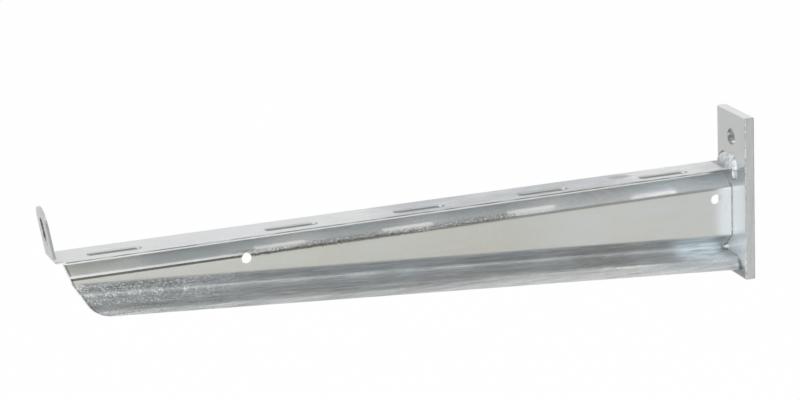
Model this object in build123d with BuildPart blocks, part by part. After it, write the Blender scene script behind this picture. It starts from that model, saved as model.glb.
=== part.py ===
from build123d import *
import os
from math import acos, atan2, cos, radians, sin, tan

os.makedirs("parts", exist_ok=True)

# A cantilever wall bracket: a tapered arm folded from one sheet, welded to a drilled flat-bar plate.
# Millimetres. The origin is on the wall, on the axis of the fixing hole. +X goes into the wall,
# +Z is up, and the arm's open trough faces -Y.

# Wall plate, cut from flat bar
plate_width = 50
plate_height = 130
plate_thickness = 8
plate_edge_radius = 1
plate_end_chamfer = 0.4
hole_diameter = 13
hole_from_top = 20

# Sheet of the arm
sheet = 2
bend_inside = 1.5
arm_length = 530

# Top flange, which is flush with one side of the plate
flange_drop = 24
flange_width_wall = 30
flange_width_end = 34
flange_corner_radius = 2.5

# Slots in the flange: a row of equal spacing, and one more near the free end
slot_length = 40
slot_width = 8
slot_from_closed_side = 21.5
first_slot_from_plate = 57
slot_pitch = 100
slot_row_count = 4
end_slot_gap = 133.5

# Web, on the plate's centre line, between the ridge and the undercut
ridge_drop = 15.7
web_height_wall = 39.8
web_height_end = 4.2
web_hole_diameter = 8
web_hole_reach = 8
inner_hole_from_plate = 14
inner_hole_drop = 24.8
outer_hole_from_plate = 393
outer_hole_drop = 18.8

# Lower trough: the sheet runs back under the web, comes forward again and rolls down to a lip
undercut_reach = 15.9
undercut_drop_wall = 14.7
undercut_drop_end = 14
lip_reach = 16
lip_depth_wall = 9.3
lip_depth_end = 6.5
roll_radius_wall = 9
roll_radius_end = 6

# Free end, cut back in side view below the flange: set-back at each level from the flange's end
setback_flange = 2
setback_web = 5.5
setback_trough = 12.5
setback_lip = 29

# End tab, bent up from the flange: it leans out, and its bend line is a little askew
tab_width = 25
tab_from_closed_side = 5
tab_neck = 3.3
tab_bend_inside = 1
tab_lean = 7.8
tab_skew = 3.4
tab_height = 39.5
tab_slot_length = 22
tab_slot_width = 8
tab_slot_from_tip = 8

# Weld beads: across the flange with a short run down its free edge, in the trough, behind the web
top_weld_start = 1.5
top_weld_on_flange = 4
top_weld_on_plate = 8
top_weld_bulge = 0.8
top_weld_overrun = 2
top_weld_depth = 0.5
run_radius = 2.2
run_length = 8.5
trough_weld_radius = 3
back_weld_leg = 3.5
back_weld_end_gap = 4

# Planes and levels that the pieces share
plate_face = -plate_thickness
plate_bottom = hole_from_top - plate_height
closed_side = plate_width / 2
flange_top = -flange_drop
flange_end = plate_face - arm_length
web_face = (plate_width + sheet) / 2
bend_outside = bend_inside + sheet
ridge_level = flange_top - ridge_drop


def across(distance, x=0.0):
    """Plane square to the arm: its first axis runs from the closed side, its second is height."""
    return Plane(origin=(x, closed_side - distance, 0), x_dir=(0, -1, 0), z_dir=(-1, 0, 0))


def open_face(flange_width, web_height, undercut_drop, lip_depth):
    """Sharp corners of the sheet's open face, from the flange's free edge to the lip."""
    hairpin = Vector(bend_outside, flange_top - bend_outside)
    ridge = Vector(web_face, ridge_level)
    run = ridge - hairpin
    band_slope = acos(bend_inside / run.length) - atan2(run.X, -run.Y)
    web_bottom = ridge_level - web_height
    trough = web_bottom - undercut_drop
    return [
        Vector(flange_width, flange_top - sheet),
        Vector(hairpin.X - bend_inside / tan(band_slope / 2), flange_top - sheet),
        ridge,
        Vector(web_face, web_bottom),
        Vector(web_face - undercut_reach, trough),
        Vector(web_face + lip_reach, trough),
        Vector(web_face + lip_reach, trough - lip_depth),
    ]


def set_off(corners, distance):
    """The same open outline moved to its right by a distance, its corners still sharp."""
    sides = [(b - a).normalized().rotate(Axis.Z, -90) for a, b in zip(corners, corners[1:])]
    moved = [corners[0] + sides[0] * distance]
    for corner, before, after in zip(corners[1:-1], sides, sides[1:]):
        moved.append(corner + (before + after) * (distance / (1 + before.dot(after))))
    moved.append(corners[-1] + sides[-1] * distance)
    return moved


def folded_section(x, corners, roll_radius):
    """Section of the folded sheet at one place along the arm."""
    inside, outside = bend_inside, bend_outside
    with BuildSketch(across(0, x)) as section:
        with BuildLine():
            front = FilletPolyline(*corners, radius=[inside, outside, outside, inside, roll_radius])
            back = FilletPolyline(
                *set_off(corners, sheet),
                radius=[outside, inside, inside, outside, roll_radius - sheet],
            )
            Line(front @ 0, back @ 0)
            Line(front @ 1, back @ 1)
        make_face()
    return section.sketch.face()


wall_corners = open_face(flange_width_wall, web_height_wall, undercut_drop_wall, lip_depth_wall)
end_corners = open_face(flange_width_end, web_height_end, undercut_drop_end, lip_depth_end)

# Wall plate
with BuildPart() as wall_plate:
    with BuildSketch(Plane.YZ.offset(plate_face)):
        with Locations((0, plate_bottom + plate_height / 2)):
            Rectangle(plate_width, plate_height)
    extrude(amount=plate_thickness)
    fillet(wall_plate.edges().filter_by(Axis.Z), radius=plate_edge_radius)
    with BuildSketch(Plane.YZ.offset(plate_face)):
        Circle(hole_diameter / 2)
    extrude(amount=plate_thickness, mode=Mode.SUBTRACT)
    plate_ends = wall_plate.faces().sort_by(Axis.Z)
    chamfer(plate_ends[0].edges() + plate_ends[-1].edges(), length=plate_end_chamfer)
wall_plate.part.label = "wall_plate"

# Arm: the folded sheet narrows in height from the plate to the free end
up = Vector(0, 0, 1)
tab_ahead = Vector(-1, 0, 0).rotate(Axis.Z, tab_skew)
tab_far_way = Vector(0, 1, 0).rotate(Axis.Z, tab_skew)
tab_near_side = closed_side - tab_from_closed_side - tab_width
tab_near = Vector(flange_end - tab_neck, tab_near_side, flange_top)
tab_far = tab_near + tab_far_way * tab_width
tab_root = Plane(origin=(tab_near + tab_far) / 2, x_dir=-tab_far_way, z_dir=tab_ahead)
tab_pivot = tab_root.origin + up * tab_bend_inside
tab_out = tab_ahead * cos(radians(tab_lean)) - up * sin(radians(tab_lean))
tab_plane = Plane(origin=tab_pivot + tab_out * tab_bend_inside, x_dir=-tab_far_way, z_dir=tab_out)
tab_straight = (flange_top + tab_height - tab_plane.origin.Z) / cos(radians(tab_lean)) - tab_width / 2
tab_slot_centre = tab_straight + tab_width / 2 - tab_slot_from_tip - tab_slot_length / 2

with BuildPart() as arm:
    add(folded_section(plate_face, wall_corners, roll_radius_wall))
    add(folded_section(flange_end, end_corners, roll_radius_end))
    loft(ruled=True)

    # Free end, cut back below the flange with a rounded corner at the lip
    web_end_level = end_corners[3].Y
    trough_end_level = end_corners[4].Y
    lip_end_level = end_corners[6].Y
    with BuildSketch(Plane.XZ):
        with BuildLine():
            cut = Polyline(
                (flange_end + setback_flange, flange_top - sheet),
                (flange_end + setback_web, web_end_level),
                (flange_end + setback_trough, trough_end_level + sheet),
            )
            corner = TangentArc(
                cut @ 1, (flange_end + setback_lip, lip_end_level - sheet), tangent=cut % 1
            )
            Polyline(
                corner @ 1,
                (flange_end + setback_lip, plate_bottom),
                (flange_end - sheet, plate_bottom),
                (flange_end - sheet, flange_top - sheet),
                cut @ 0,
            )
        make_face()
    extrude(amount=plate_width, both=True, mode=Mode.SUBTRACT)

    # Free corner of the flange's end
    flange_corner = arm.edges().filter_by(Axis.Z).group_by(Axis.X)[0].sort_by(Axis.Y)[0]
    fillet(flange_corner, radius=flange_corner_radius)

    # Slots in the flange
    slot_row_middle = plate_face - first_slot_from_plate - slot_pitch * (slot_row_count - 1) / 2
    end_slot = slot_row_middle - slot_pitch * (slot_row_count - 1) / 2 - end_slot_gap
    slot_line = closed_side - slot_from_closed_side
    with BuildSketch(Plane.XY.offset(flange_top)):
        with Locations((slot_row_middle, slot_line)):
            with GridLocations(slot_pitch, slot_pitch, slot_row_count, 1):
                SlotOverall(slot_length, slot_width)
        with Locations((end_slot, slot_line)):
            SlotOverall(slot_length, slot_width)
    extrude(amount=-sheet, mode=Mode.SUBTRACT)

    # Holes in the web, drilled from the open side
    inner_hole = (plate_face - inner_hole_from_plate, flange_top - inner_hole_drop)
    outer_hole = (plate_face - outer_hole_from_plate, flange_top - outer_hole_drop)
    with BuildSketch(Plane.XZ.offset(web_face - closed_side)):
        with Locations(inner_hole, outer_hole):
            Circle(web_hole_diameter / 2)
    extrude(amount=-web_hole_reach, mode=Mode.SUBTRACT)

    # Tab: neck, bend and round-ended strip with its slot
    with BuildSketch(Plane.XY.offset(flange_top)):
        with BuildLine():
            Polyline(
                (flange_end, tab_near.Y),
                (tab_near.X, tab_near.Y),
                (tab_far.X, tab_far.Y),
                (flange_end, tab_far.Y),
                close=True,
            )
        make_face()
    extrude(amount=-sheet)
    with BuildSketch(tab_root):
        Rectangle(tab_width, sheet, align=(Align.CENTER, Align.MAX))
    revolve(axis=Axis(tab_pivot, tab_far_way), revolution_arc=90 - tab_lean)
    with BuildSketch(tab_plane):
        Rectangle(tab_width, tab_straight, align=(Align.CENTER, Align.MIN))
        with Locations((0, tab_straight)):
            Circle(tab_width / 2)
        with Locations((0, tab_slot_centre)):
            SlotOverall(tab_slot_length, tab_slot_width, rotation=90, mode=Mode.SUBTRACT)
    extrude(amount=sheet)

    # Shallow bevel at the plate that the top weld fills
    top_weld_toe = (plate_face - top_weld_on_flange, flange_top)
    with BuildSketch(Plane.XZ.offset(top_weld_start - closed_side)):
        with BuildLine():
            Polyline(
                top_weld_toe,
                (plate_face, flange_top),
                (plate_face, flange_top - top_weld_depth),
                close=True,
            )
        make_face()
    extrude(amount=flange_width_wall, mode=Mode.SUBTRACT)
arm.part.label = "arm"

# Weld across the end of the flange to just past its free edge, then down beside that edge
top_weld_end = flange_width_wall + top_weld_overrun
run_line = closed_side - top_weld_end + run_radius / 2
with BuildPart() as top_weld:
    with BuildSketch(Plane.XZ.offset(top_weld_start - closed_side)):
        with BuildLine():
            crown = (plate_face, flange_top + top_weld_on_plate)
            SagittaArc(crown, top_weld_toe, top_weld_bulge)
            Polyline(top_weld_toe, (plate_face, flange_top - top_weld_depth), crown)
        make_face()
    extrude(amount=top_weld_end - top_weld_start)
    with BuildSketch(Plane.XY.offset(flange_top)):
        with Locations((plate_face, run_line)):
            Circle(run_radius)
    extrude(amount=run_radius - run_length)
    with Locations((plate_face, run_line, flange_top + run_radius - run_length)):
        Sphere(run_radius)
    split(bisect_by=Plane.YZ.offset(plate_face), keep=Keep.BOTTOM)
    add(arm.part, mode=Mode.SUBTRACT)
top_weld.part.label = "top_weld"

# Round weld in the trough, centred on the bend between the undercut and the lower flange
trough_corner = wall_corners[4]
along_undercut = (wall_corners[3] - trough_corner).normalized()
along_lower_flange = (wall_corners[5] - trough_corner).normalized()
trough_half_angle = radians(along_undercut.get_angle(along_lower_flange)) / 2
trough_bisector = (along_undercut + along_lower_flange).normalized()
trough_bend = trough_corner + trough_bisector * (bend_inside / sin(trough_half_angle))
with BuildPart() as trough_weld:
    with Locations((plate_face, closed_side - trough_bend.X, trough_bend.Y)):
        Sphere(trough_weld_radius)
    split(bisect_by=Plane.YZ.offset(plate_face), keep=Keep.BOTTOM)
    add(arm.part, mode=Mode.SUBTRACT)
trough_weld.part.label = "trough_weld"

# Weld behind the web, in the corner with the plate
web_back = closed_side - wall_corners[3].X + sheet
back_weld_top = ridge_level - back_weld_end_gap
back_weld_length = web_height_wall - 2 * back_weld_end_gap
with BuildPart() as back_weld:
    with BuildSketch(Plane.XY.offset(back_weld_top)):
        with BuildLine():
            Polyline(
                (plate_face, web_back),
                (plate_face - back_weld_leg, web_back),
                (plate_face, web_back + back_weld_leg),
                close=True,
            )
        make_face()
    extrude(amount=-back_weld_length)
back_weld.part.label = "back_weld"

export_step(wall_plate.part, "parts/wall_plate.step")
export_step(arm.part, "parts/arm.step")
export_step(top_weld.part, "parts/top_weld.step")
export_step(trough_weld.part, "parts/trough_weld.step")
export_step(back_weld.part, "parts/back_weld.step")
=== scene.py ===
import math

import bpy
from mathutils import Matrix, Vector


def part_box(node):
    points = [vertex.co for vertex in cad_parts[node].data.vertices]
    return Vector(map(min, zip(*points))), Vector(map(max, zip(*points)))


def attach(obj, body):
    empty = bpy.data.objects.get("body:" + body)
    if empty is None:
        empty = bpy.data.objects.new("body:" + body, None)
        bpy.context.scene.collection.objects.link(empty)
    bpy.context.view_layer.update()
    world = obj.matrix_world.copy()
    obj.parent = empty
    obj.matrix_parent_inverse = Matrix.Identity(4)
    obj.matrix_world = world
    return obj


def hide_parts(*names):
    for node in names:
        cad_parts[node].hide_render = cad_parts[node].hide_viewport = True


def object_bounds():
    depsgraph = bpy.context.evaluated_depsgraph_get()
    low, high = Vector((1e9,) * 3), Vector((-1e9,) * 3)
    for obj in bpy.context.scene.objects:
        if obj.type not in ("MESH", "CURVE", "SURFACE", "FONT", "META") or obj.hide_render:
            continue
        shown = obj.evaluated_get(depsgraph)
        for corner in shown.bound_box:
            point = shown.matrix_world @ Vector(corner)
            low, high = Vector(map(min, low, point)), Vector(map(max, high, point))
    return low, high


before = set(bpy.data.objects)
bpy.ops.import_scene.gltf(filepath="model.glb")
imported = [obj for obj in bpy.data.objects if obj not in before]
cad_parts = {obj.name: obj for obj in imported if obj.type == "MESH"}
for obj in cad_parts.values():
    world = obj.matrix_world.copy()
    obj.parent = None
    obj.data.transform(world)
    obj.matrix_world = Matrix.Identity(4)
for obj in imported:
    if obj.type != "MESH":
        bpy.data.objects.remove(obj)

bl_info = {
    "name": "Wall bracket",
    "version": (1, 0, 0),
    "blender": (4, 5, 0),
    "location": "3D View > Sidebar > Wall bracket",
    "description": "Finishes and weld beads of a zinc-coated wall bracket",
    "category": "Object",
}

ROOT = "root"
cad_box = [list(corner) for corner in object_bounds()]
plate_low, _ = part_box("wall_plate")


# Settings

class StageSettings(bpy.types.PropertyGroup):
    floor_drop: bpy.props.FloatProperty(
        name="Floor drop", description="Height of the bracket's lowest point over the floor",
        default=0.45, min=0.0, unit="LENGTH",
    )
    key_power: bpy.props.FloatProperty(
        name="Key light", description="Power of the large soft light at the front left",
        default=48.0, min=0.0, unit="POWER",
    )
    right_power: bpy.props.FloatProperty(
        name="Right light", description="Power of the lamp high on the wall plate's side",
        default=2.0, min=0.0, unit="POWER",
    )
    back_level: bpy.props.FloatProperty(
        name="Back level", description="Brightness of the white backdrop",
        default=0.95, min=0.0, max=1.0, subtype="FACTOR",
    )
    ceiling_level: bpy.props.FloatProperty(
        name="Ceiling level", description="Brightness of the ceiling over the free end",
        default=0.8, min=0.0, max=1.0, subtype="FACTOR",
    )
    front_level: bpy.props.FloatProperty(
        name="Front level", description="Brightness of the room on the camera's side",
        default=0.42, min=0.0, max=1.0, subtype="FACTOR",
    )


class FinishSettings(bpy.types.PropertyGroup):
    zinc_blue: bpy.props.FloatVectorProperty(
        name="Bluish zinc", description="Zinc where the coating is bright",
        default=(0.765, 0.79, 0.80), size=3, subtype="COLOR", min=0.0, max=1.0,
    )
    zinc_warm: bpy.props.FloatVectorProperty(
        name="Warm zinc", description="Zinc where the coating is matt",
        default=(0.775, 0.78, 0.765), size=3, subtype="COLOR", min=0.0, max=1.0,
    )
    bright_gloss: bpy.props.FloatProperty(
        name="Bright roughness", description="Roughness of the bright flecks of the coating",
        default=0.24, min=0.0, max=1.0, subtype="FACTOR",
    )
    matt_gloss: bpy.props.FloatProperty(
        name="Matt roughness", description="Roughness of the matt flecks of the coating",
        default=0.68, min=0.0, max=1.0, subtype="FACTOR",
    )


# Node helpers

class Nodes:
    """Builds a node tree, node by node."""

    def __init__(self, tree):
        self.tree = tree
        tree.nodes.clear()

    def add(self, kind, inputs=(), **settings):
        node = self.tree.nodes.new(kind)
        for key, value in settings.items():
            setattr(node, key, value)
        for key, value in dict(inputs).items():
            self.set(node.inputs[key], value)
        return node

    def set(self, socket, value):
        if isinstance(value, bpy.types.NodeSocket):
            self.tree.links.new(value, socket)
        else:
            socket.default_value = value

    def math(self, operation, first, second=0.0, third=0.0):
        node = self.add("ShaderNodeMath", {0: first, 1: second, 2: third}, operation=operation)
        return node.outputs[0]

    def ramp(self, value, low, high, start=0.0, end=1.0, kind="SMOOTHSTEP"):
        """Value from start to end as the input goes from low to high."""
        node = self.add("ShaderNodeMapRange", {
            "Value": value, "From Min": low, "From Max": high, "To Min": start, "To Max": end},
            interpolation_type=kind)
        return node.outputs[0]

    def split(self, vector):
        return self.add("ShaderNodeSeparateXYZ", {0: vector}).outputs


class Shader(Nodes):
    """Builds one material."""

    def __init__(self, name):
        self.material = bpy.data.materials.new(name)
        self.material.use_nodes = True
        super().__init__(self.material.node_tree)
        coordinates = self.add("ShaderNodeTexCoord").outputs
        self.place = coordinates["Object"]
        self.facing = coordinates["Normal"]

    def noise(self, scale, detail=3.0, roughness=0.5, stretch=(1.0, 1.0, 1.0)):
        turned = self.add("ShaderNodeMapping", {"Vector": self.place, "Scale": stretch})
        node = self.add("ShaderNodeTexNoise", {
            "Vector": turned.outputs[0], "Scale": scale, "Detail": detail, "Roughness": roughness})
        return node.outputs["Fac"]

    def patches(self, scale, detail, roughness, low, high, start=0.0, end=1.0,
                stretch=(1.0, 1.0, 1.0)):
        """Noise as patches: start where the noise is under low, end where it is over high."""
        return self.ramp(self.noise(scale, detail, roughness, stretch), low, high, start, end)

    def dots(self, scale):
        """Distance from the nearest of a scatter of points, in steps of their spacing."""
        node = self.add("ShaderNodeTexVoronoi", {"Vector": self.place, "Scale": scale})
        return node.outputs["Distance"]

    def total(self, *values):
        result = values[0]
        for value in values[1:]:
            result = self.math("ADD", result, value)
        return result

    def product(self, *values):
        result = values[0]
        for value in values[1:]:
            result = self.math("MULTIPLY", result, value)
        return result

    def between(self, value, low, high, soft):
        """1 from low to high, fading to 0 over a soft width outside them."""
        return self.product(self.ramp(value, low - soft, low),
                            self.ramp(value, high, high + soft, 1.0, 0.0))

    def away(self, point, radii):
        """Distance from a point, in shares of the radius along each axis."""
        offset = self.add("ShaderNodeVectorMath", {0: self.place, 1: point}, operation="SUBTRACT")
        shares = self.add("ShaderNodeVectorMath", {0: offset.outputs[0], 1: radii},
                          operation="DIVIDE")
        length = self.add("ShaderNodeVectorMath", {0: shares.outputs[0]}, operation="LENGTH")
        return length.outputs["Value"]

    def spot(self, point, radii):
        """1 at a point, fading to 0 at the surface of an ellipsoid round it."""
        return self.ramp(self.away(point, radii), 0.6, 1.0, 1.0, 0.0)

    def grey(self, value):
        return self.add("ShaderNodeCombineColor", {0: value, 1: value, 2: value}).outputs[0]

    def blend(self, amount, first, second, kind="MIX"):
        """Mix of two colours. The node's colours are its inputs 6 and 7 and its output 2."""
        node = self.add("ShaderNodeMix", data_type="RGBA", blend_type=kind)
        for index, value in ((0, amount), (6, first), (7, second)):
            if isinstance(value, tuple):
                value = (*value, 1.0)
            self.set(node.inputs[index], value)
        return node.outputs[2]

    def bump(self, height, depth, strength=1.0, normal=None):
        inputs = {"Height": height, "Distance": depth, "Strength": strength}
        if normal is not None:
            inputs["Normal"] = normal
        return self.add("ShaderNodeBump", inputs).outputs[0]

    def finish(self, colour, metallic, roughness, normal):
        shader = self.add("ShaderNodeBsdfPrincipled", {
            "Base Color": colour, "Metallic": metallic, "Roughness": roughness, "Normal": normal})
        self.add("ShaderNodeOutputMaterial", {"Surface": shader.outputs[0]})
        return self.material


def along(share):
    """Stretch of a noise along the arm: the smaller the share, the longer its streaks."""
    return (share, 1.0, 1.0)


# Places on the bracket, in metres: x runs to the wall, y to the back and z up

FLANGE_TOP = -0.024
FLANGE_EDGE = (-0.0262, -0.0238)
FLANGE_END = -0.538
UNDER_FLANGE = (-0.0262, -0.0270)
WEB_FACE = -0.001
BAND = (-0.0386, -0.0256)
WEB_BOTTOM_AT_ORIGIN = -0.08004
WEB_BOTTOM_SLOPE = -0.06717
TROUGH_AT_ORIGIN = -0.09475
TROUGH_SLOPE = -0.06849
SLOT_PITCH = 0.1
FIRST_SLOT = 0.065
FIRST_LIGHT_STRIP = 0.074
END_SLOT = 0.4985
SLOT_STRAIGHT = 0.016
SLOT_Y = 0.0035
SLOT_RIM = (0.0040, 0.0044)
HOLE_RADIUS = 0.0065
CRISP = 0.0002

# The end cut sets the sheet back from the flange's end: from a height, to a height, by a length
END_CUT_START = FLANGE_END + 0.0020
END_CUT = (
    (-0.0260, -0.0439, 0.0035), (-0.0439, -0.0559, 0.0070), (-0.0559, -0.0590, 0.0022),
    (-0.0590, -0.0615, 0.0025), (-0.0615, -0.0635, 0.0028), (-0.0635, -0.0650, 0.0031),
    (-0.0650, -0.0662, 0.0043),
)

METALLIC = 0.92
METALLIC_ON_WELD = 0.85


class SheetPlaces:
    """Masks for the parts of the sheet, each 1 on its part and 0 elsewhere."""

    def __init__(self, s):
        self.x, self.y, self.z = s.split(s.place)
        self.facing_x, self.facing_y, self.facing_z = s.split(s.facing)
        self.cloud = s.noise(45.0, 5.0, 0.6, along(0.35))
        self.streak = s.noise(900.0, 4.0, 0.6, along(0.02))

        self.top = s.between(self.z, FLANGE_TOP - 0.0004, FLANGE_TOP + 0.0002, CRISP)
        self.web = s.between(self.y, WEB_FACE - 0.0003, WEB_FACE + 0.0003, CRISP)
        self.band = s.between(self.z, *BAND, 0.0006)
        web_bottom = s.math("MULTIPLY_ADD", self.x, WEB_BOTTOM_SLOPE, WEB_BOTTOM_AT_ORIGIN)
        over_web_bottom = s.math("SUBTRACT", self.z, web_bottom)
        self.below = s.ramp(over_web_bottom, -0.0020, 0.0005, 1.0, 0.0)
        trough_level = s.math("MULTIPLY_ADD", self.x, TROUGH_SLOPE, TROUGH_AT_ORIGIN)
        self.over_trough = s.math("SUBTRACT", self.z, trough_level)
        self.roll = s.product(self.below, s.ramp(self.y, -0.0080, -0.0110))
        self.front = s.ramp(self.y, 0.0030, 0.0045, 1.0, 0.0)
        self.on_tab = s.ramp(self.z, -0.0225, -0.0215)
        self.facing_front = s.ramp(self.facing_y, -0.85, -0.96)
        self.free_edge = s.product(self.facing_front, s.ramp(self.y, -0.0030, -0.0045),
                                   s.between(self.z, *FLANGE_EDGE, CRISP))

        # Distance from the end cut, towards the plate
        end_line = s.total(END_CUT_START, *(
            s.ramp(self.z, high, low, 0.0, reach, "LINEAR") for high, low, reach in END_CUT))
        self.from_end = s.math("SUBTRACT", self.x, end_line)
        self.under_flange = s.ramp(self.z, *UNDER_FLANGE)

        # Height on the ridge: its line wanders, most along the middle of the arm
        ragged = s.between(self.x, -0.39, -0.24, 0.03)
        wander = s.math("SUBTRACT", s.noise(1300.0, 3.0, 0.7, along(0.6)), 0.5)
        wander = s.product(wander, s.math("MULTIPLY_ADD", ragged, 0.0040, 0.0006))
        self.level = s.math("ADD", self.z, wander)

    def row(self, s, first):
        """Distance along the arm from the nearest of a row of points, a slot spacing apart."""
        steps = s.math("MULTIPLY_ADD", self.x, 1.0 / SLOT_PITCH, first / SLOT_PITCH + 0.5)
        off = s.math("ABSOLUTE", s.math("SUBTRACT", s.math("FRACT", steps), 0.5))
        return s.product(off, SLOT_PITCH)

    def slot_rim(self, s, distance):
        """1 on the front rim of a slot, from the distance along the arm from its middle."""
        beyond = s.math("MAXIMUM", s.math("SUBTRACT", distance, SLOT_STRAIGHT), 0.0)
        sideways = s.math("SUBTRACT", self.y, SLOT_Y)
        squares = s.total(s.product(beyond, beyond), s.product(sideways, sideways))
        front = s.ramp(self.y, SLOT_Y + 0.0005, SLOT_Y - 0.0015)
        return s.product(s.between(s.math("SQRT", squares), *SLOT_RIM, 0.0004), self.top, front)


# Zinc on the sheet

def sheet_tint(s, finish, at):
    """Colour of the zinc on each part: clouds and streaks, with painted light and shade: a warmer
    web, a paler band and trough, a paler flange top, a darker lip.
    """
    clouds = s.ramp(at.cloud, 0.35, 0.65)
    colour = s.blend(clouds, tuple(finish.zinc_blue), tuple(finish.zinc_warm))
    # Painted light: the band under the flange is made paler and bluer down towards the ridge
    band = s.product(at.band, s.ramp(at.z, -0.0300, -0.0350, 0.35, 0.75))
    colour = s.blend(band, colour, (0.90, 0.92, 0.945))
    # Painted light: the undercut, trough and lip are made paler
    colour = s.blend(s.product(at.below, 0.6), colour, (0.90, 0.92, 0.94))
    fainter_on_web = s.math("MULTIPLY_ADD", at.web, -0.65, 1.0)
    streaks = s.grey(s.ramp(at.streak, 0.3, 0.7, 0.94, 1.03))
    colour = s.blend(fainter_on_web, colour, streaks, "MULTIPLY")
    # Painted reflection: the web is tinted warmer and darker, fading out near the plate
    web = s.product(at.web, s.ramp(at.x, -0.20, -0.12, 1.0, 0.35))
    colour = s.blend(web, colour, (0.89, 0.875, 0.83), "MULTIPLY")

    # Rolling streaks in the trough, and painted shade on the rolled lip and along its top
    bands = s.product(s.patches(420.0, 3.0, 0.6, 0.38, 0.60, 0.78, 1.0, along(0.03)),
                      s.patches(1700.0, 2.0, 0.6, 0.38, 0.60, 0.82, 1.0, along(0.008)))
    colour = s.blend(at.below, colour, s.grey(bands), "MULTIPLY")
    # Painted shade: the lip is made darker, most away from the plate, with a darker line along its
    # upper face
    roll = s.product(at.roll, s.ramp(at.x, -0.30, -0.10, 0.5, 0.1))
    colour = s.blend(roll, colour, (0.80, 0.80, 0.79), "MULTIPLY")
    roll_top_shade = s.product(at.roll, s.between(at.facing_y, -0.80, -0.50, 0.12),
                         s.ramp(at.x, -0.35, -0.12, 0.75, 0.15))
    colour = s.blend(roll_top_shade, colour, (0.76, 0.76, 0.76), "MULTIPLY")

    # Flange's top: painted lighter, mottled towards the plate, dull along its middle
    # Painted light: the flange's top is made paler
    colour = s.blend(s.product(at.top, 0.6), colour, (0.86, 0.875, 0.89))
    mottle = s.patches(320.0, 5.0, 0.7, 0.35, 0.65, 0.90, 1.02, along(0.25))
    mottled = s.product(at.top, s.ramp(at.x, -0.36, -0.24, 0.4, 1.0))
    colour = s.blend(mottled, colour, s.grey(mottle), "MULTIPLY")
    # Painted light: the band is made paler towards the free end
    free_end_light = s.product(at.band, s.ramp(at.x, -0.44, -0.51), 0.8)
    colour = s.blend(free_end_light, colour, (0.90, 0.90, 0.88))
    dull = s.product(at.top, s.between(at.x, -0.265, -0.115, 0.05),
                     s.ramp(at.cloud, 0.30, 0.60, 0.6, 1.0))
    return s.blend(dull, colour, (0.76, 0.77, 0.79), "MULTIPLY")


def slot_stain(s, at):
    """Stain on the flange between the first two slots"""
    return s.spot((-0.0975, 0.013, FLANGE_TOP), (0.011, 0.0055, 0.001))


def bead_shade(s, at):
    """Painted shade on the flange along the top weld"""
    return s.product(at.top, s.ramp(at.x, -0.0165, -0.0150), s.ramp(at.y, -0.004, 0.001))


def crease_shade(s, at):
    """Painted shade: a dark line in the bend under the ridge, fainter towards the plate"""
    fade = s.ramp(at.x, -0.42, -0.10, 1.0, 0.45)
    return s.product(s.between(at.level, -0.0411, -0.0399, 0.0005), at.front, fade)


def ridge_shade_grains(s, at):
    """Painted shade in dark grains on the ragged part of the ridge"""
    grains = s.patches(1000.0, 2.0, 0.7, 0.56, 0.44, 0.15, 1.0)
    return s.product(s.between(at.level, -0.0400, -0.0376, 0.0006), at.front,
                     s.between(at.x, -0.400, -0.195, 0.015), grains)


def trough_corner_shade(s, at):
    """Painted shade in the corner of the trough beside its weld"""
    by_weld = s.between(at.x, -0.0185, -0.0125, 0.003)
    height = s.between(at.over_trough, -0.0060, -0.0005, 0.001)
    return s.product(by_weld, height, at.below, s.ramp(at.y, -0.0070, -0.0030))


def trough_foot_shade(s, at):
    """Painted shade: a dark line where the trough's bottom meets the plate"""
    return s.product(s.ramp(at.x, -0.0118, -0.0094), s.ramp(at.z, -0.0950, -0.0985))


def grit(s, at):
    """Dark grit in the trough, most at the free end"""
    fade = s.ramp(at.x, -0.50, -0.36, 1.0, 0.12)
    return s.product(at.below, fade, s.patches(1100.0, 2.0, 0.7, 0.50, 0.40))


def roll_marks(s, at):
    """Short streaks on a length of the trough"""
    marks = s.patches(900.0, 2.0, 0.6, 0.44, 0.54, stretch=along(0.12))
    return s.product(at.below, s.between(at.x, -0.135, -0.095, 0.008), marks)


def seam(s, at):
    """Broken dark line between the web and the plate"""
    pits = s.patches(420.0, 2.0, 0.6, 0.54, 0.60, 0.30, 1.0)
    return s.product(s.ramp(at.x, -0.0093, -0.0087), s.ramp(at.z, -0.036, -0.038), pits)


def smudge(s, at):
    """Smudge beside the web's inner hole"""
    return s.spot((-0.0168, WEB_FACE, -0.0485), (0.0014, 0.0020, 0.0036))


def cut_line(s, at):
    """Dark line along the inside of the end cut"""
    return s.product(s.between(at.from_end, 0.0012, 0.0019, 0.0006), at.under_flange, 0.8)


def tab_edge(s, at):
    """Front-facing sheared edge of the tab, darker"""
    return s.product(at.facing_front, at.on_tab)


def torn_edge(s, at):
    """Torn line along the flange's free edge"""
    tears = s.patches(700.0, 2.0, 0.6, 0.38, 0.58, 0.35, 1.0, along(0.10))
    return s.product(at.free_edge, s.between(at.z, -0.0249, -0.0243, CRISP), tears)


def edge_by_bead(s, at):
    """Dark part of the free edge beside the top weld"""
    return s.product(at.free_edge, s.ramp(at.z, -0.0245, -0.0249), s.ramp(at.x, -0.034, -0.024))


def slot_rim_shade(s, at):
    """Painted shade on the front rims of the four slots in a row and of the fifth"""
    row = s.product(at.slot_rim(s, at.row(s, FIRST_SLOT)), s.ramp(at.x, -0.41, -0.40))
    fifth = at.slot_rim(s, s.math("ABSOLUTE", s.math("ADD", at.x, END_SLOT)))
    return s.math("MAXIMUM", row, fifth)


def slot_wall_shade(s, at):
    """Painted shade: a dark line at the foot of the slots' far walls"""
    return s.product(s.ramp(at.facing_y, -0.85, -0.95), s.between(at.z, -0.0262, -0.0253, CRISP),
                     s.ramp(at.y, 0.0030, 0.0050))


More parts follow.
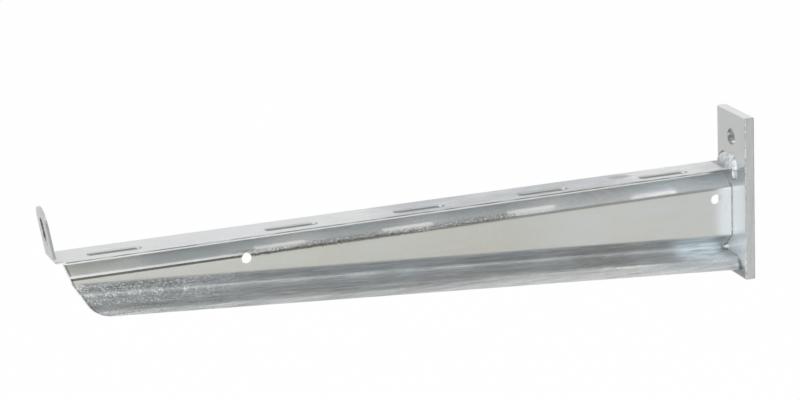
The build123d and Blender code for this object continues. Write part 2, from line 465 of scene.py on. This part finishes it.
def tab_slot_shade(s, at):
    """Painted shade on the wall of the tab's slot, broken by pits"""
    wall = s.ramp(s.math("ABSOLUTE", at.facing_x), 0.5, 0.3)
    pits = s.patches(500.0, 2.0, 0.6, 0.36, 0.60, 0.45, 1.0)
    return s.product(s.between(at.z, -0.0085, 0.0050, 0.002), s.ramp(at.y, 0.0035, 0.0045),
                     wall, pits)


# Dark marks: stains, grit, streaks, a seam and edge lines, and painted shade
STAINS_AND_SHADE = (
    (slot_stain, (0.72, 0.71, 0.70)),
    (bead_shade, (0.60, 0.62, 0.66)),
    (crease_shade, (0.26, 0.25, 0.23)),
    (ridge_shade_grains, (0.34, 0.33, 0.30)),
    (trough_corner_shade, (0.55, 0.58, 0.61)),
    (trough_foot_shade, (0.42, 0.42, 0.44)),
    (grit, (0.60, 0.60, 0.60)),
    (roll_marks, (0.88, 0.865, 0.84)),
    (seam, (0.26, 0.26, 0.28)),
    (smudge, (0.60, 0.60, 0.60)),
    (cut_line, (0.42, 0.41, 0.39)),
    (tab_edge, (0.62, 0.62, 0.62)),
    (torn_edge, (0.38, 0.38, 0.37)),
    (edge_by_bead, (0.26, 0.26, 0.27)),
    (slot_rim_shade, (0.25, 0.25, 0.25)),
    (slot_wall_shade, (0.34, 0.34, 0.33)),
    (tab_slot_shade, (0.34, 0.33, 0.32)),
)


def ridge_highlight(s, at):
    """Painted highlight: a pale line along the ridge, strongest at the free end"""
    return s.product(s.between(at.level, -0.0395, -0.0386, 0.0003), at.front,
                     s.ramp(at.x, -0.42, -0.36, 0.85, 0.10))


def ridge_glints(s, at):
    """Painted glints: bright points on the ragged part of the ridge"""
    points = s.ramp(s.dots(620.0), 0.42, 0.26)
    return s.product(points, s.between(at.level, -0.0392, -0.0366, 0.0004), at.front,
                     s.between(at.x, -0.40, -0.19, 0.03))


def end_specks(s, at):
    """Specks in the trough, most at the free end"""
    dots = s.ramp(s.dots(430.0), 0.50, 0.32)
    return s.product(dots, s.patches(160.0, 2.0, 0.5, 0.34, 0.48), at.below,
                     s.ramp(at.y, -0.0115, -0.0080), s.ramp(at.x, -0.480, -0.36, 1.0, 0.06))


def trough_highlight_line(s, at):
    """Painted highlight: a broken pale line along the trough"""
    broken = s.patches(700.0, 3.0, 0.6, 0.35, 0.60, 0.3, 1.0, along(0.05))
    return s.product(s.between(at.over_trough, 0.0016, 0.0036, 0.0008), at.below, broken,
                     s.ramp(at.x, -0.35, -0.20, 0.60, 0.68))


def trough_highlights_by_plate(s, at):
    """Painted highlights: fine pale lines in the trough near the plate"""
    lines = s.patches(1000.0, 1.0, 0.6, 0.42, 0.52, 0.05, 1.0, along(0.02))
    return s.product(s.between(at.over_trough, -0.0070, 0.0070, 0.0010), at.below, lines,
                     s.ramp(at.y, -0.0125, -0.0095), s.between(at.x, -0.046, -0.022, 0.014))


def slot_light_strips(s, at):
    """Painted light: pale strips on the ridge, one under each slot of the row, where light falls
    through the slot
    """
    length = s.ramp(at.row(s, FIRST_LIGHT_STRIP), 0.0218, 0.0185)
    height = s.product(s.ramp(at.z, -0.0386, -0.0374, 0.3, 1.0),
                       s.between(at.z, -0.0384, -0.0366, 0.0003))
    return s.product(length, height, s.ramp(at.facing_z, 0.3, 0.6),
                     s.between(at.x, -0.41, -0.11, 0.02), s.ramp(at.x, -0.25, -0.10, 1.0, 0.85))


def band_sheen(s, at):
    """Painted sheen on the band, stronger down it and towards the plate"""
    return s.product(at.band, s.ramp(at.z, -0.0270, -0.0360, 0.16, 0.28),
                     s.ramp(at.x, -0.50, -0.36, 0.2, 0.8), s.ramp(at.x, -0.20, -0.08, 1.0, 1.5))


def lip_sheen(s, at):
    """Painted sheen on the front of the rolled lip, stronger towards the plate"""
    return s.product(at.roll, s.ramp(at.facing_y, -0.35, -0.65),
                     s.ramp(at.x, -0.32, -0.10, 0.05, 0.34), s.ramp(at.x, -0.0130, -0.0240))


def scratch(s, at):
    """Short scratch on the flange between the first two slots"""
    return s.spot((-0.0870, 0.0082, FLANGE_TOP), (0.0022, 0.0010, 0.001))


def cut_rim(s, at):
    """Pale rim of the end cut"""
    return s.product(s.ramp(at.from_end, 0.0010, 0.0004), at.under_flange)


def sheared_edge(s, at):
    """Pale, broken lower half of the flange's free edge"""
    broken = s.patches(500.0, 2.0, 0.6, 0.36, 0.60, 0.08, 0.42, along(0.10))
    return s.product(at.free_edge, s.ramp(at.z, -0.0250, -0.0253), s.ramp(at.x, -0.030, -0.045),
                     broken)


# Pale marks: specks, a scratch and the pale cut edges, and painted highlights, sheen and light
PALE_MARKS_AND_HIGHLIGHTS = (ridge_highlight, ridge_glints, end_specks, trough_highlight_line, trough_highlights_by_plate, slot_light_strips,
          band_sheen, lip_sheen, scratch, cut_rim, sheared_edge)


def sheet_finish(finish):
    """Zinc on the folded sheet: its tint, then dark stains and painted shade, then the whiter, matt
    marks and painted highlights.
    """
    s = Shader("zinc_on_sheet")
    at = SheetPlaces(s)
    colour = sheet_tint(s, finish, at)
    for stain_or_shade, tint in STAINS_AND_SHADE:
        colour = s.blend(stain_or_shade(s, at), colour, tint, "MULTIPLY")
    pale_marks_and_highlights = PALE_MARKS_AND_HIGHLIGHTS[0](s, at)
    for mark in PALE_MARKS_AND_HIGHLIGHTS[1:]:
        pale_marks_and_highlights = s.math("MAXIMUM", pale_marks_and_highlights, mark(s, at))
    # Colour of the pale marks and painted highlights, bluer near the plate
    white = s.blend(s.ramp(at.x, -0.10, -0.05), (0.97, 0.97, 0.95), (0.90, 0.97, 1.0))
    colour = s.blend(pale_marks_and_highlights, colour, white)
    # Painted light on the web beside the plate
    web_light_beside_plate = s.product(at.web, s.ramp(at.x, -0.0260, -0.0140), s.ramp(at.x, -0.0086, -0.0092))
    colour = s.blend(web_light_beside_plate, colour, (0.90, 0.93, 0.94))

    # Matt flecks among bright ones, a glossier bend behind the trough
    fleck = s.patches(4500.0, 2.0, 0.6, 0.42, 0.58)
    matt = s.ramp(at.cloud, 0.3, 0.7, -0.04, 0.04)
    rough = s.math("MULTIPLY_ADD", fleck, finish.matt_gloss - finish.bright_gloss,
                   finish.bright_gloss)
    bend = s.product(s.ramp(at.y, 0.0085, 0.0125), at.below)
    rough = s.product(s.math("ADD", matt, rough), s.math("MULTIPLY_ADD", bend, -0.35, 1.0))

    # Relief of streaks and flecks, and a rounded shoulder on the ridge
    relief = s.math("ADD", s.product(at.streak, s.math("MULTIPLY_ADD", at.web, -0.6, 0.8)),
                    s.product(fleck, 0.2))
    shoulder = s.bump(s.ramp(at.level, -0.0400, -0.0380), 0.0006,
                      s.ramp(at.x, -0.42, -0.34, 0.8, 0.1))
    return s.finish(colour, s.math("MULTIPLY_ADD", pale_marks_and_highlights, -0.85, METALLIC), rough,
                    s.bump(relief, 0.00002, 0.5, shoulder))


# Zinc on the plate and on the welds

def plate_finish(finish):
    """Zinc on the flat bar: glossy front, drawn edges with painted shade, dull corners with painted
    shade, painted shade round the top weld and under the arm, painted light beside the arm.
    """
    s = Shader("zinc_on_plate")
    _, y, z = s.split(s.place)
    facing_x, facing_y, _ = s.split(s.facing)
    cloud = s.noise(60.0, 5.0, 0.6)
    clouds = s.ramp(cloud, 0.35, 0.65)
    colour = s.blend(clouds, tuple(finish.zinc_blue), tuple(finish.zinc_warm))
    front = s.ramp(facing_x, -0.80, -0.95)
    colour = s.blend(front, colour, (0.985, 0.985, 1.0), "MULTIPLY")
    # Drawn streaks on the sides, and painted shade: the sides are darker overall
    side = s.ramp(s.math("ABSOLUTE", facing_y), 0.80, 0.95)
    drawn = s.patches(1500.0, 3.0, 0.6, 0.35, 0.65, 0.80, 0.94, (1.0, 1.0, 0.03))
    colour = s.blend(side, colour, s.grey(drawn), "MULTIPLY")
    # Painted shade on the rounded corners, broken into patches
    corner = s.product(s.math("ABSOLUTE", facing_x), s.math("ABSOLUTE", facing_y))
    corner = s.ramp(corner, 0.06, 0.25)
    corner_shade_patches = s.patches(600.0, 3.0, 0.6, 0.35, 0.65, 0.55, 0.95)
    colour = s.blend(corner, colour, s.grey(corner_shade_patches), "MULTIPLY")

    # Painted shade round the top bead and under the arm, dull wall of the hole
    bead_toe_shade = s.away((0.0, 0.004, FLANGE_TOP), (1.0, 0.0183, 0.0106))
    bead_toe_shade = s.product(s.between(bead_toe_shade, 0.98, 1.07, 0.03), s.ramp(y, 0.0110, 0.0150),
                    s.ramp(z, -0.0240, -0.0225), front)
    colour = s.blend(bead_toe_shade, colour, (0.36, 0.36, 0.38), "MULTIPLY")
    # Painted shade on the front's foot under the arm
    foot = s.product(front, s.ramp(z, -0.0970, -0.1020), s.ramp(z, -0.1100, -0.1040, 0.55, 1.0),
                     s.ramp(y, -0.0242, -0.0225))
    colour = s.blend(foot, colour, (0.30, 0.30, 0.32), "MULTIPLY")
    off_axis = s.math("SQRT", s.total(s.product(y, y), s.product(z, z)))
    bore = s.product(s.ramp(off_axis, HOLE_RADIUS + 0.0004, HOLE_RADIUS + 0.0001),
                     s.ramp(s.math("ABSOLUTE", facing_x), 0.5, 0.2))
    colour = s.blend(bore, colour, s.grey(s.patches(260.0, 2.0, 0.5, 0.4, 0.6, 0.70, 1.0)),
                     "MULTIPLY")

    # The front is glossier than the sides and corners
    glossy = s.math("SUBTRACT", 1.0, s.math("MAXIMUM", side, corner))
    fleck = s.math("MULTIPLY_ADD", glossy, -0.10, s.patches(4500.0, 2.0, 0.6, 0.47, 0.60))
    rough = s.math("MULTIPLY_ADD", fleck, finish.matt_gloss - finish.bright_gloss,
                   s.math("MULTIPLY_ADD", glossy, -0.06, finish.bright_gloss))
    rough = s.math("ADD", s.math("MAXIMUM", rough, 0.12), s.ramp(cloud, 0.3, 0.7, -0.03, 0.04))

    # Painted light: pale, matt zinc on the front beside the arm
    pale = s.product(front, s.between(z, -0.0980, -0.0400, 0.0100), s.ramp(y, 0.0150, 0.0050),
                     s.ramp(z, -0.0600, -0.0850, 0.15, 0.50))
    colour = s.blend(pale, colour, (0.93, 0.97, 1.0))
    return s.finish(colour, s.math("MULTIPLY_ADD", pale, -0.6, METALLIC), rough,
                    s.bump(s.noise(1200.0, 3.0, 0.5), 0.00003, 0.5))


def weld_finish(finish):
    """Zinc over weld metal: rough, with dark hollows and a painted shadow under the foot of the top
    weld's run.
    """
    s = Shader("zinc_on_weld")
    cloud = s.noise(350.0, 4.0, 0.6)
    colour = s.blend(s.ramp(cloud, 0.3, 0.6), (0.42, 0.43, 0.45), tuple(finish.zinc_blue))
    # Painted shadow under the foot of the run
    shadow_under_run = s.spot((-0.0090, -0.0050, -0.0332), (0.0030, 0.0030, 0.0016))
    colour = s.blend(shadow_under_run, colour, (0.12, 0.12, 0.12))
    return s.finish(colour, METALLIC_ON_WELD, s.ramp(cloud, 0.3, 0.7, 0.45, 0.28),
                    s.bump(s.noise(1800.0, 4.0, 0.6), 0.00015, 0.8))


class Bracket:
    """Shared steps of the operators."""

    bl_options = {"REGISTER", "UNDO"}

    @property
    def finish(self):
        return bpy.context.scene.bracket_finish

    @property
    def stage(self):
        return bpy.context.scene.bracket_stage


class BRACKET_OT_plate(Bracket, bpy.types.Operator):
    """Give the wall plate its zinc finish"""

    bl_idname = "bracket.plate"
    bl_label = "Finish the wall plate"

    def execute(self, context):
        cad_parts["wall_plate"].material_slots[0].material = plate_finish(self.finish)
        return {"FINISHED"}


class BRACKET_OT_arm(Bracket, bpy.types.Operator):
    """Give the folded arm its zinc finish"""

    bl_idname = "bracket.arm"
    bl_label = "Finish the arm"

    def execute(self, context):
        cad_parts["arm"].material_slots[0].material = sheet_finish(self.finish)
        return {"FINISHED"}


# Weld beads

PLATE_FACE = plate_low.x
RING_POINTS = 28
SINK = 0.0004
THINNEST = 0.0003
SMOOTH_ANGLE = math.radians(50)

# Top bead: height over the flange at places across it, and its width
BEAD_HEIGHTS = (
    (0.0238, 0.0006), (0.0228, 0.0026), (0.0202, 0.0050), (0.0165, 0.0073), (0.0128, 0.0088),
    (0.0074, 0.0102), (0.0019, 0.0111), (-0.0035, 0.0108), (-0.0065, 0.0085), (-0.0088, 0.0050),
    (-0.0098, 0.0008),
)
BEAD_WIDTH = 0.0042
RUN_TOP = FLANGE_TOP + 0.0006
RUN_FOOT = FLANGE_TOP - 0.0092
RUN_Y = -0.0054
RUN_RADIUS = 0.0015
LUMP_RADIUS = 0.0031
BACK_RADIUS = 0.0032


def only(piece):
    bpy.ops.object.select_all(action="DESELECT")
    piece.select_set(True)
    bpy.context.view_layer.objects.active = piece


def place_shape():
    """Moves the object's place, turn and scale into its mesh."""
    bpy.ops.object.transform_apply(location=True, rotation=True, scale=True)


def cut_off(point, side, fill=False):
    """In edit mode, cuts off what lies beyond a plane."""
    bpy.ops.mesh.select_all(action="SELECT")
    bpy.ops.mesh.bisect(plane_co=point, plane_no=side, use_fill=fill, clear_outer=True)
    bpy.ops.mesh.select_all(action="SELECT")


def signed_volume(mesh):
    """Volume of a closed mesh, below 0 where its faces point inwards."""
    mesh.calc_loop_triangles()
    corners = ([mesh.vertices[i].co for i in triangle.vertices] for triangle in mesh.loop_triangles)
    return sum(a.dot(b.cross(c)) for a, b, c in corners) / 6


def close_up(piece):
    """Splits the flat ends into fans, and turns all faces outwards."""
    only(piece)
    bpy.ops.object.mode_set(mode="EDIT")
    bpy.ops.mesh.select_mode(type="FACE")
    bpy.ops.mesh.select_face_by_sides(number=4, type="GREATER", extend=False)
    bpy.ops.mesh.poke()
    bpy.ops.mesh.select_mode(type="VERT")
    bpy.ops.mesh.select_all(action="SELECT")
    bpy.ops.mesh.normals_make_consistent(inside=False)
    bpy.ops.object.mode_set(mode="OBJECT")
    if signed_volume(piece.data) < 0:
        bpy.ops.object.mode_set(mode="EDIT")
        bpy.ops.mesh.select_all(action="SELECT")
        bpy.ops.mesh.flip_normals()
        bpy.ops.object.mode_set(mode="OBJECT")


def bead(name, stations, across, buried=()):
    """A closed bead of rings: each station is a place and two radii, square to the across axis.

    A ring has no half on its buried sides."""
    place, wide, tall = stations[0]
    turn = {"Y": (math.pi / 2, 0.0, 0.0), "Z": (0.0, 0.0, 0.0)}[across]
    bpy.ops.object.select_all(action="DESELECT")
    bpy.ops.mesh.primitive_circle_add(
        vertices=RING_POINTS, radius=1.0, fill_type="NGON", location=place, rotation=turn)
    piece = bpy.context.object
    piece.name = name
    bpy.ops.object.mode_set(mode="EDIT")
    for side in buried:
        cut_off(place, side)

    def resize(first, second, centre):
        value = (first, 1.0, second) if across == "Y" else (first, second, 1.0)
        bpy.ops.transform.resize(value=value, center_override=centre)

    resize(wide, tall, place)
    for (here, _, _), (place, next_wide, next_tall) in zip(stations, stations[1:]):
        step = Vector(place) - Vector(here)
        bpy.ops.mesh.extrude_region_move(TRANSFORM_OT_translate={"value": step})
        resize(next_wide / wide, next_tall / tall, place)
        wide, tall = next_wide, next_tall
    bpy.ops.object.mode_set(mode="OBJECT")
    place_shape()
    close_up(piece)
    return piece


def roughen(piece, grain, depth):
    """Uneven surface: a cloud pattern pushes the points in and out."""
    only(piece)
    texture = bpy.data.textures.new(piece.name + "_lumps", "CLOUDS")
    texture.noise_scale = grain
    texture.noise_depth = 2
    displace = piece.modifiers.new("lumps", "DISPLACE")
    displace.texture = texture
    displace.texture_coords = "LOCAL"
    displace.strength = depth
    bpy.ops.object.modifier_apply(modifier="lumps")


def weld_piece(piece, material, *nodes):
    """Finishes a bead, which stands in for the CAD's plain one."""
    only(piece)
    bpy.ops.object.shade_smooth_by_angle(angle=SMOOTH_ANGLE)
    piece.data.materials.clear()
    piece.data.materials.append(material)
    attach(piece, ROOT)
    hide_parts(*nodes)


def profile(points, place):
    """Value between the nearest two of a list of (place, value) points."""
    for (here, value), (there, next_value) in zip(points, points[1:]):
        if (here - place) * (there - place) <= 0:
            share = (place - here) / (there - here)
            return value + (next_value - value) * share
    return points[-1][1]


def steps(count):
    """Shares from 0 to 1 in even steps."""
    return (i / count for i in range(count + 1))


def mound(t):
    """Height of a mound along its length, 0 at both ends and 1 in the middle."""
    return max(1.0 - abs(2.0 * t - 1.0) ** 2.4, 0.0) ** 0.5


def ripple(t, depth, count):
    """Share by which a bead swells and shrinks along its length."""
    return 1.0 + depth * math.cos(t * 2 * math.pi * count)


class BRACKET_OT_top_weld(Bracket, bpy.types.Operator):
    """Model the bead across the end of the flange, and its short run down the free edge"""

    bl_idname = "bracket.top_weld"
    bl_label = "Model the top weld"

    def execute(self, context):
        across = self.across()
        down = self.down()
        only(across)
        down.select_set(True)
        bpy.ops.object.join()
        weld_piece(across, weld_finish(self.finish), "top_weld")
        return {"FINISHED"}

    def across(self):
        start, end = BEAD_HEIGHTS[0][0], BEAD_HEIGHTS[-1][0]
        stations = []
        for t in steps(48):
            y = start + (end - start) * t
            swell = ripple(t, 0.035, 13)
            wide = max(BEAD_WIDTH * mound(t) * (0.85 + 0.25 * t) * swell, THINNEST)
            stations.append(((PLATE_FACE + SINK, y, FLANGE_TOP - SINK), wide + SINK,
                             profile(BEAD_HEIGHTS, y) * swell + SINK))
        piece = bead("top_weld_bead", stations, "Y", buried=((1, 0, 0), (0, 0, -1)))
        roughen(piece, 0.0022, 0.0009)
        return piece

    def down(self):
        stations = []
        for t in steps(20):
            swell = (1 - abs(2 * t - 1) ** 3.0) ** 0.5 if 0 < t < 1 else 0.0
            radius = max(RUN_RADIUS * swell * (0.7 + 0.4 * t), 0.0002)
            place = (PLATE_FACE - 0.0008, RUN_Y + 0.0004 * math.sin(5 * t),
                     RUN_TOP + (RUN_FOOT - RUN_TOP) * t)
            stations.append((place, radius, radius))
        piece = bead("top_weld_run", stations, "Z")
        roughen(piece, 0.0018, 0.0006)
        return piece


class BRACKET_OT_trough_weld(Bracket, bpy.types.Operator):
    """Model the lump of weld in the corner of the trough"""

    bl_idname = "bracket.trough_weld"
    bl_label = "Model the trough weld"

    def execute(self, context):
        middle = Vector(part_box("trough_weld")[0]) / 2 + Vector(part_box("trough_weld")[1]) / 2
        middle.x = PLATE_FACE
        bpy.ops.object.select_all(action="DESELECT")
        bpy.ops.mesh.primitive_uv_sphere_add(
            segments=32, ring_count=20, radius=LUMP_RADIUS, location=middle)
        lump = bpy.context.object
        lump.name = "trough_weld_lump"
        bpy.ops.object.mode_set(mode="EDIT")
        bpy.ops.transform.resize(value=(1.05, 1.0, 0.9), center_override=middle)
        cut_off((PLATE_FACE + SINK, 0, 0), (1, 0, 0), fill=True)
        bpy.ops.object.mode_set(mode="OBJECT")
        place_shape()
        close_up(lump)
        roughen(lump, 0.0013, 0.0013)
        weld_piece(lump, weld_finish(self.finish), "trough_weld")
        return {"FINISHED"}


class BRACKET_OT_back_weld(Bracket, bpy.types.Operator):
    """Model the bead behind the web"""

    bl_idname = "bracket.back_weld"
    bl_label = "Model the back weld"

    def execute(self, context):
        low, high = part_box("back_weld")
        stations = []
        for t in steps(60):
            radius = max(BACK_RADIUS * mound(t) * ripple(t, 0.06, 17), THINNEST) + SINK
            place = (PLATE_FACE + SINK, low.y - SINK, high.z + (low.z - high.z) * t)
            stations.append((place, radius, radius))
        piece = bead("back_weld_bead", stations, "Z", buried=((1, 0, 0), (0, -1, 0)))
        roughen(piece, 0.0018, 0.0005)
        weld_piece(piece, weld_finish(self.finish), "back_weld")
        return {"FINISHED"}


# Stage

CAMERA_PLACE = (-0.83493, -1.74651, 0.51314)
CAMERA_TURN = 17.62
CAMERA_RISE = 16.06
CAMERA_ROLL = -2.80
CAMERA_LENS = 114.68

LIGHT_TARGET = (-0.28, 0.0, -0.05)
KEY_PLACE = (-1.75, -1.65, 0.70)
KEY_SIZE = (5.0, 2.8)
KEY_COLOUR = (0.93, 0.975, 1.0)
RIGHT_PLACE = (0.5, 0.17, 0.85)
RIGHT_SIZE = (0.32, 0.14)
RIGHT_COLOUR = (1.0, 0.98, 0.93)

FLOOR_SIZE = 24.0
FLOOR_COLOUR = (0.86, 0.85, 0.82, 1.0)
FLOOR_WHITE = 0.985
PLAIN_WHITE = (1, 1, 1, 1)
FAR_CEILING_LEVEL = 0.3


def camera_matrix():
    turn, rise, roll = (math.radians(a) for a in (CAMERA_TURN, CAMERA_RISE, CAMERA_ROLL))
    back = Vector((-math.sin(turn) * math.cos(rise), -math.cos(turn) * math.cos(rise),
                   math.sin(rise)))
    level = (-back).cross(Vector((0, 0, 1))).normalized()
    upright = back.cross(level)
    right = level * math.cos(roll) + upright * math.sin(roll)
    up = upright * math.cos(roll) - level * math.sin(roll)
    matrix = Matrix((right, up, back)).transposed().to_4x4()
    matrix.translation = CAMERA_PLACE
    return matrix


def soft_light(name, place, size, power, colour):
    bpy.ops.object.light_add(type="AREA", location=place)
    light = bpy.context.object
    light.name = name
    light.data.shape = "RECTANGLE"
    light.data.size, light.data.size_y = size
    light.data.energy = power
    light.data.color = colour
    aim = Vector(LIGHT_TARGET) - Vector(place)
    light.rotation_euler = aim.to_track_quat("-Z", "Y").to_euler()
    light.visible_camera = False


class BRACKET_OT_stage(Bracket, bpy.types.Operator):
    """Add the camera, the pale floor, the white room and the soft lights"""

    bl_idname = "bracket.stage"
    bl_label = "Set the stage"

    def execute(self, context):
        settings = self.stage
        scene = context.scene
        scene.view_settings.view_transform = "Standard"
        bpy.ops.object.camera_add()
        camera = context.object
        camera.data.lens = CAMERA_LENS
        camera.matrix_world = camera_matrix()
        scene.camera = camera
        self.floor(settings)
        self.room(scene, settings)
        soft_light("key_light", KEY_PLACE, KEY_SIZE, settings.key_power, KEY_COLOUR)
        soft_light("right_light", RIGHT_PLACE, RIGHT_SIZE, settings.right_power, RIGHT_COLOUR)
        return {"FINISHED"}

    def floor(self, settings):
        """A pale floor that takes the shadow, near white to the camera."""
        bpy.ops.mesh.primitive_plane_add(
            size=FLOOR_SIZE, location=(0.0, 0.0, cad_box[0][2] - settings.floor_drop))
        floor = bpy.context.object
        floor.name = "pale_floor"
        material = bpy.data.materials.new("pale_floor")
        material.use_nodes = True
        s = Nodes(material.node_tree)
        path = s.add("ShaderNodeLightPath").outputs
        matt = s.add("ShaderNodeBsdfPrincipled", {
            "Base Color": FLOOR_COLOUR, "Roughness": 1.0, "Specular IOR Level": 0.0})
        glow = s.add("ShaderNodeEmission")
        seen = s.math("MULTIPLY", path["Is Camera Ray"], FLOOR_WHITE)
        shown = s.add("ShaderNodeMixShader", {"Fac": seen, 1: matt.outputs[0], 2: glow.outputs[0]})
        s.add("ShaderNodeOutputMaterial", {"Surface": shown.outputs[0]})
        floor.data.materials.append(material)

    def room(self, scene, settings):
        """White to the camera; round the bracket, a white back and a dimmer ceiling and front."""
        world = bpy.data.worlds.new("white_room")
        scene.world = world
        world.use_nodes = True
        s = Nodes(world.node_tree)
        path = s.add("ShaderNodeLightPath").outputs
        way = s.split(s.add("ShaderNodeTexCoord").outputs["Generated"])
        behind = s.ramp(way["Y"], -0.15, 0.25)
        wall = s.math("MULTIPLY_ADD", behind, settings.back_level - settings.front_level,
                      settings.front_level)
        high = s.ramp(way["Z"], 0.3, 0.95)
        wall = s.math("MULTIPLY", wall, s.math("SUBTRACT", 1.0, high))
        over_arm = s.ramp(way["X"], -0.2, 0.4, settings.ceiling_level, FAR_CEILING_LEVEL)
        ceiling = s.math("MULTIPLY", high, over_arm)
        room = s.add("ShaderNodeBackground", {
            "Color": PLAIN_WHITE, "Strength": s.math("ADD", wall, ceiling)})
        white = s.add("ShaderNodeBackground", {"Color": PLAIN_WHITE, "Strength": 1.0})
        seen = s.math("MAXIMUM", path["Is Camera Ray"], path["Is Transmission Ray"])
        shown = s.add("ShaderNodeMixShader", {"Fac": seen, 1: room.outputs[0], 2: white.outputs[0]})
        s.add("ShaderNodeOutputWorld", {"Surface": shown.outputs[0]})


OPERATORS = (
    BRACKET_OT_plate,
    BRACKET_OT_arm,
    BRACKET_OT_top_weld,
    BRACKET_OT_trough_weld,
    BRACKET_OT_back_weld,
    BRACKET_OT_stage,
)


class BRACKET_PT_panel(bpy.types.Panel):
    """Lists the bracket's settings and steps"""

    bl_label = "Wall bracket"
    bl_idname = "BRACKET_PT_panel"
    bl_space_type = "VIEW_3D"
    bl_region_type = "UI"
    bl_category = "Wall bracket"

    def draw(self, context):
        layout = self.layout
        for settings in (context.scene.bracket_finish, context.scene.bracket_stage):
            for name in settings.bl_rna.properties.keys():
                if name not in ("rna_type", "name"):
                    layout.prop(settings, name)
        for operator in OPERATORS:
            layout.operator(operator.bl_idname)


CLASSES = (StageSettings, FinishSettings, *OPERATORS, BRACKET_PT_panel)


def register():
    for kind in CLASSES:
        bpy.utils.register_class(kind)
    bpy.types.Scene.bracket_stage = bpy.props.PointerProperty(type=StageSettings)
    bpy.types.Scene.bracket_finish = bpy.props.PointerProperty(type=FinishSettings)


def unregister():
    del bpy.types.Scene.bracket_finish
    del bpy.types.Scene.bracket_stage
    for kind in reversed(CLASSES):
        bpy.utils.unregister_class(kind)


def main():
    register()
    bpy.ops.object.select_all(action="DESELECT")
    bpy.ops.bracket.plate()
    bpy.ops.bracket.arm()
    bpy.ops.bracket.top_weld()
    bpy.ops.bracket.trough_weld()
    bpy.ops.bracket.back_weld()
    bpy.ops.bracket.stage()


if __name__ == "__main__":
    main()
